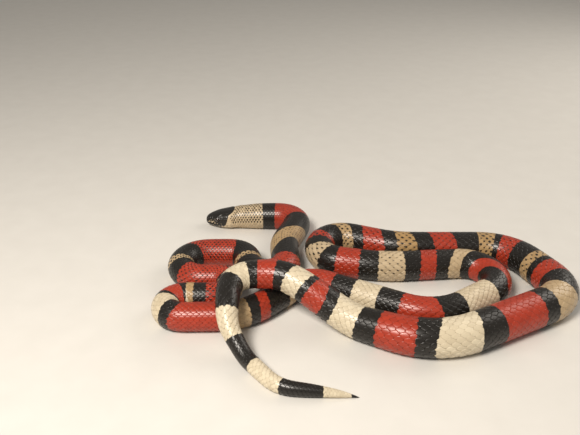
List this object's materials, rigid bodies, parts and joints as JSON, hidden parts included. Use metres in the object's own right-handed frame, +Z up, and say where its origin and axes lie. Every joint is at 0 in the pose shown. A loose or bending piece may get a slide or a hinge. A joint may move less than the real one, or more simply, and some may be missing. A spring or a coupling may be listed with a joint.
{
  "type": "milk snake, still life-size model",
  "caption": "Life-size milk snake at rest in loose loops, ringed red, black and cream, its tail crossing over its own coils.",
  "frame": {"origin": "middle of the space the snake covers, on the surface it rests on", "axes": "+Z up; +X to the right of the picture's view, from the head side towards the wide coils; +Y away from the viewer"},
  "size_m": [0.2568, 0.1935, 0.035],
  "materials": {
    "body_scales": "smooth overlapping scales, low sheen, in rings of red, black and cream",
    "head_scales": "smooth large plates, low sheen, black with pale speckled cheeks",
    "eye": "glossy, dark"
  },
  "bodies": {
    "root": {"head": "head_scales", "eye_left": "eye", "eye_right": "eye", "neck": "body_scales", "body_01": "body_scales", "body_02": "body_scales", "body_03": "body_scales", "body_04": "body_scales", "body_05": "body_scales", "body_06": "body_scales", "body_07": "body_scales", "body_08": "body_scales", "body_09": "body_scales", "body_10": "body_scales", "body_11": "body_scales", "body_12": "body_scales", "body_13": "body_scales", "body_14": "body_scales", "body_15": "body_scales", "body_16": "body_scales", "body_17": "body_scales", "body_18": "body_scales", "body_19": "body_scales", "body_20": "body_scales", "body_21": "body_scales", "body_22": "body_scales", "body_23": "body_scales", "body_24": "body_scales", "body_25": "body_scales", "body_26": "body_scales", "body_27": "body_scales", "body_28": "body_scales", "body_29": "body_scales", "body_30": "body_scales", "body_31": "body_scales", "body_32": "body_scales", "body_33": "body_scales", "body_34": "body_scales", "tail_01": "body_scales", "tail_02": "body_scales", "tail_03": "body_scales", "tail_04": "body_scales", "tail_05": "body_scales", "tail_06": "body_scales"}
  },
  "joints": []
}
